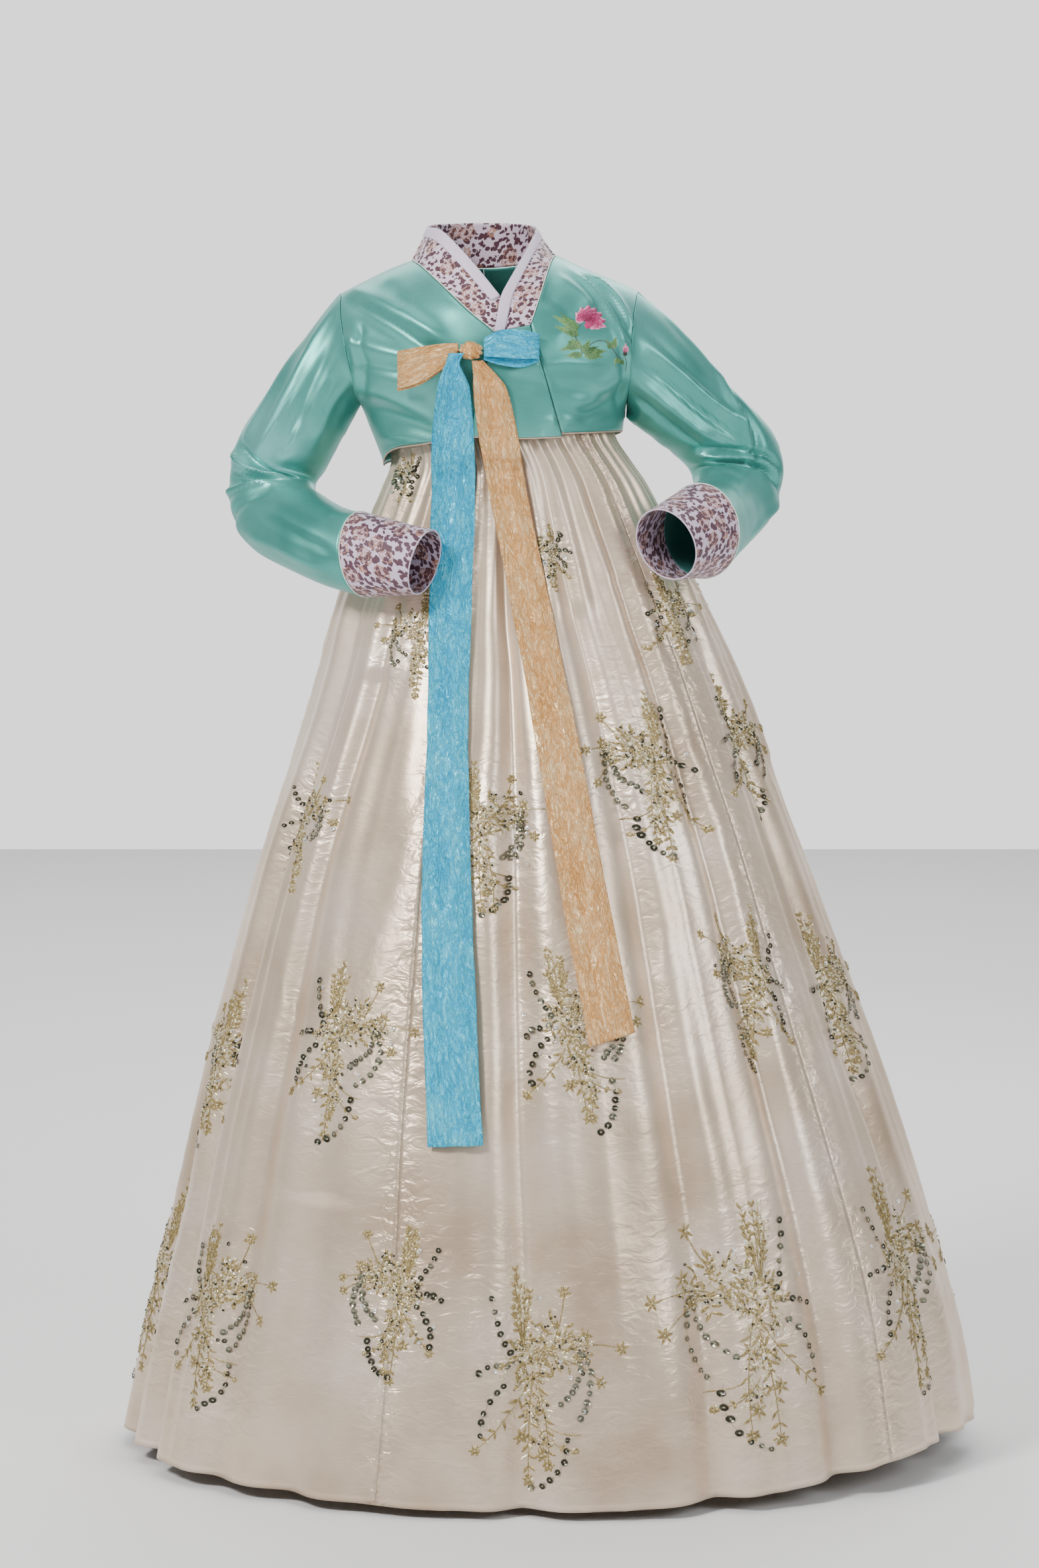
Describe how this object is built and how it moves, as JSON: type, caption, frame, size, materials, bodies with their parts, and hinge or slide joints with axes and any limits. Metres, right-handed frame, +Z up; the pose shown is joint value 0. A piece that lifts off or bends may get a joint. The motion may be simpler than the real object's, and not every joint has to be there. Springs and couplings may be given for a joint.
{
  "type": "korean hanbok",
  "caption": "Worn Korean hanbok: cropped wrapped jacket with a ribbon bow over a full gathered skirt, hollow, with the arms bent forward.",
  "frame": {"origin": "between the wearer's shoulders, at the height where the jacket rests on them", "axes": "+Z up, -Y the garment's front, +X towards the wearer's left side"},
  "size_m": [1.0071, 0.7966, 1.4143],
  "materials": {
    "sea_green_silk": "satin, shot with blue and green",
    "pale_brocade": "woven with small roses",
    "lavender_white_silk": "matt silk",
    "sky_blue_crepe": "crinkled, soft gloss",
    "peach_gold_crepe": "crinkled, soft gloss",
    "champagne_satin": "satin with stitched sprays",
    "white_cotton": "matt"
  },
  "bodies": {
    "root": {"bow_knot": "peach_gold_crepe", "bow_loop_left": "sky_blue_crepe", "bow_loop_right": "peach_gold_crepe", "chest_band": "white_cotton", "collar": "pale_brocade", "collar_strip": "lavender_white_silk", "cuff_left": "pale_brocade", "cuff_right": "pale_brocade", "jacket_left_back": "sea_green_silk", "jacket_left_front": "sea_green_silk", "jacket_overlap": "sea_green_silk", "jacket_right_back": "sea_green_silk", "jacket_right_front": "sea_green_silk", "ribbon_blue": "sky_blue_crepe", "ribbon_peach": "peach_gold_crepe", "skirt_front": "champagne_satin", "skirt_left_back": "champagne_satin", "skirt_left_front": "champagne_satin", "skirt_right_back": "champagne_satin", "skirt_right_front": "champagne_satin", "sleeve_left": "sea_green_silk", "sleeve_right": "sea_green_silk"}
  },
  "joints": []
}
